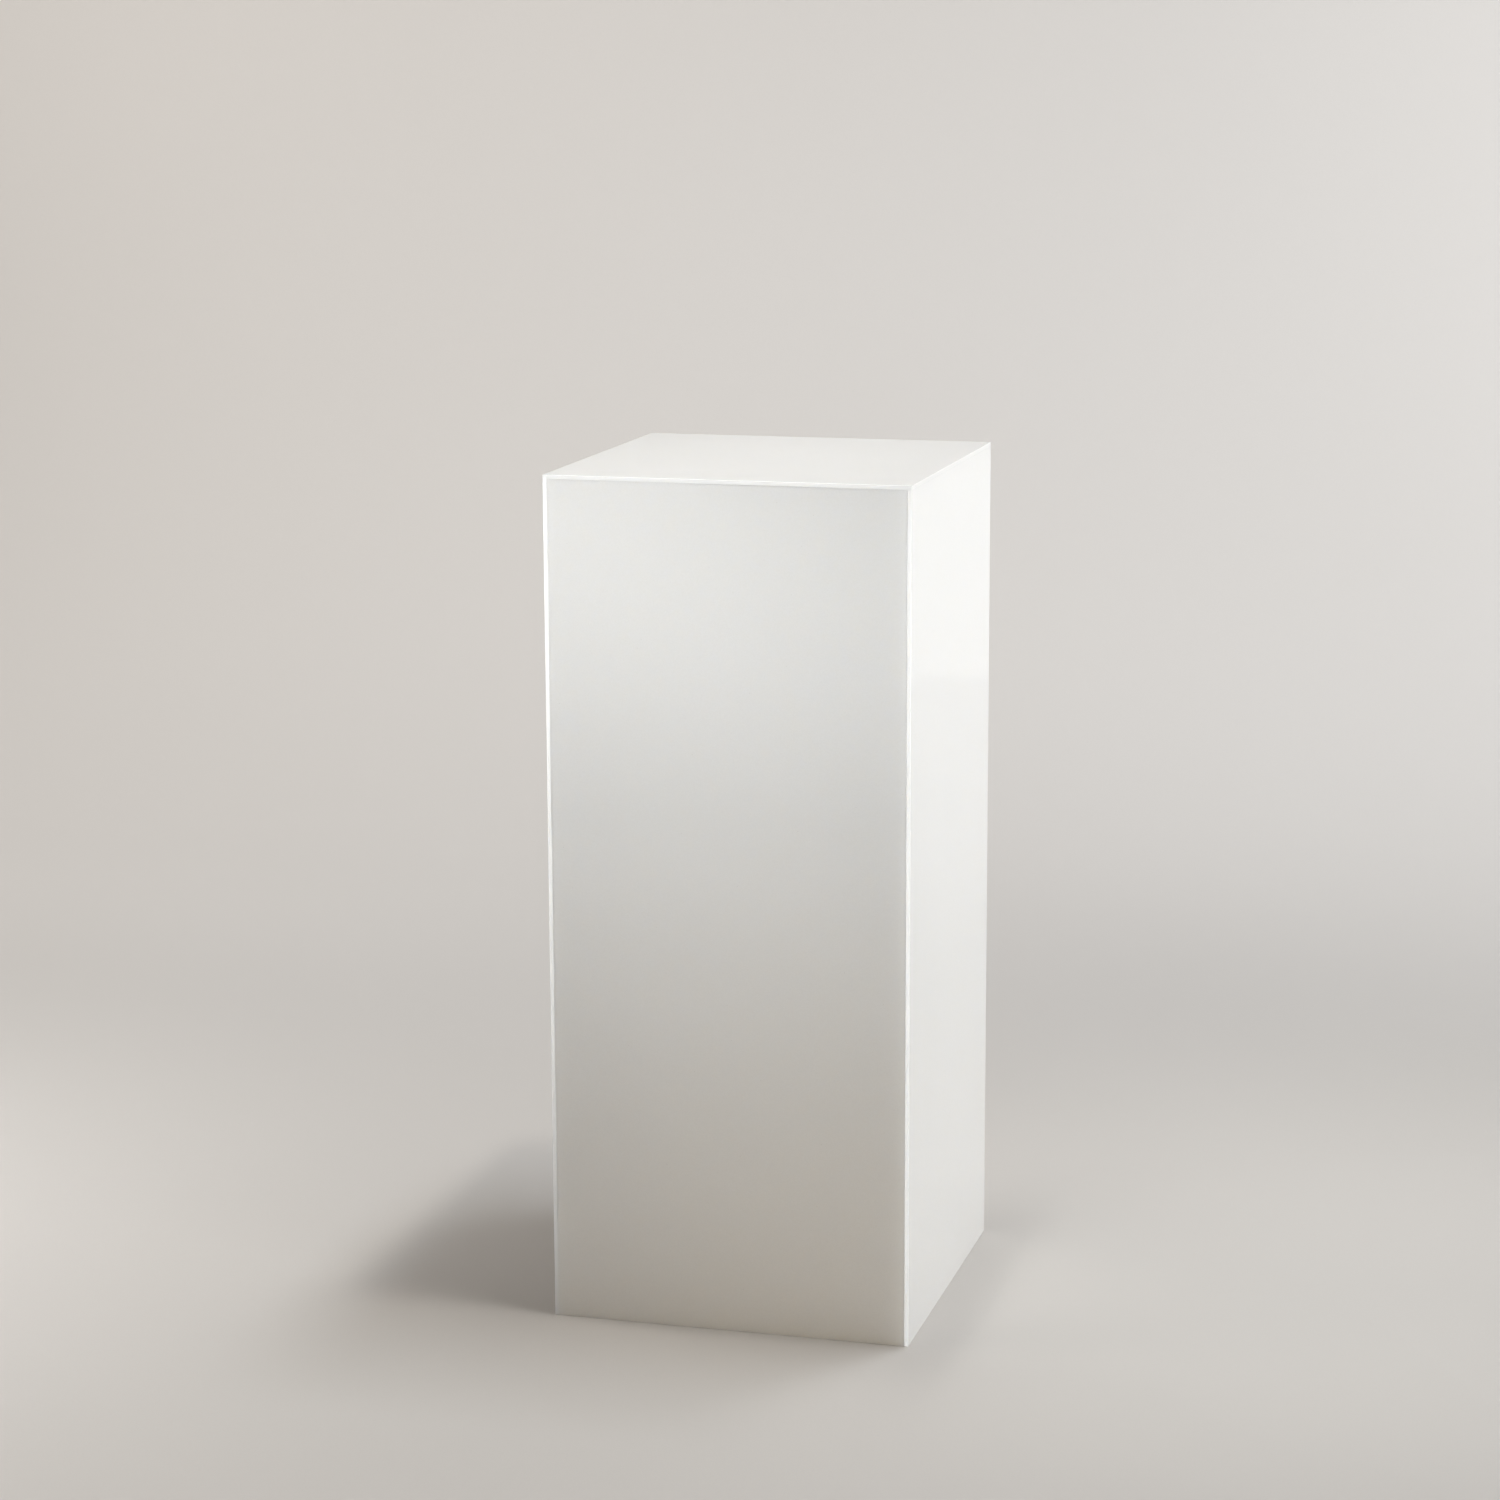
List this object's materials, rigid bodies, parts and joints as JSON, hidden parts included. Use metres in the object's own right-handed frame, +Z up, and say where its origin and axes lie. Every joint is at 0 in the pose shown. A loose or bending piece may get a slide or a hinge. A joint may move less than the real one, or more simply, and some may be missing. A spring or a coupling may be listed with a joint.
{
  "type": "acrylic display plinth",
  "caption": "Tall square display plinth in opal white gloss acrylic: flat sheet walls cemented edge to face under an overlying top sheet, open underneath.",
  "frame": {"origin": "middle of the footprint, on the surface that the plinth stands on", "axes": "+Z up; +X towards the right-hand side panel; -Y towards the front panel"},
  "size_m": [0.45, 0.45, 1.05],
  "materials": {
    "opal_acrylic": "gloss, opal white, polished edges",
    "cement": "satin, dried acrylic cement"
  },
  "bodies": {
    "root": {"top_panel": "opal_acrylic", "front_panel": "opal_acrylic", "right_panel": "opal_acrylic", "back_panel": "opal_acrylic", "left_panel": "opal_acrylic", "cement_bead_front_left": "cement", "cement_bead_front_right": "cement", "cement_bead_back_right": "cement", "cement_bead_back_left": "cement", "cement_bead_top_front": "cement", "cement_bead_top_right": "cement", "cement_bead_top_back": "cement", "cement_bead_top_left": "cement"}
  },
  "joints": []
}
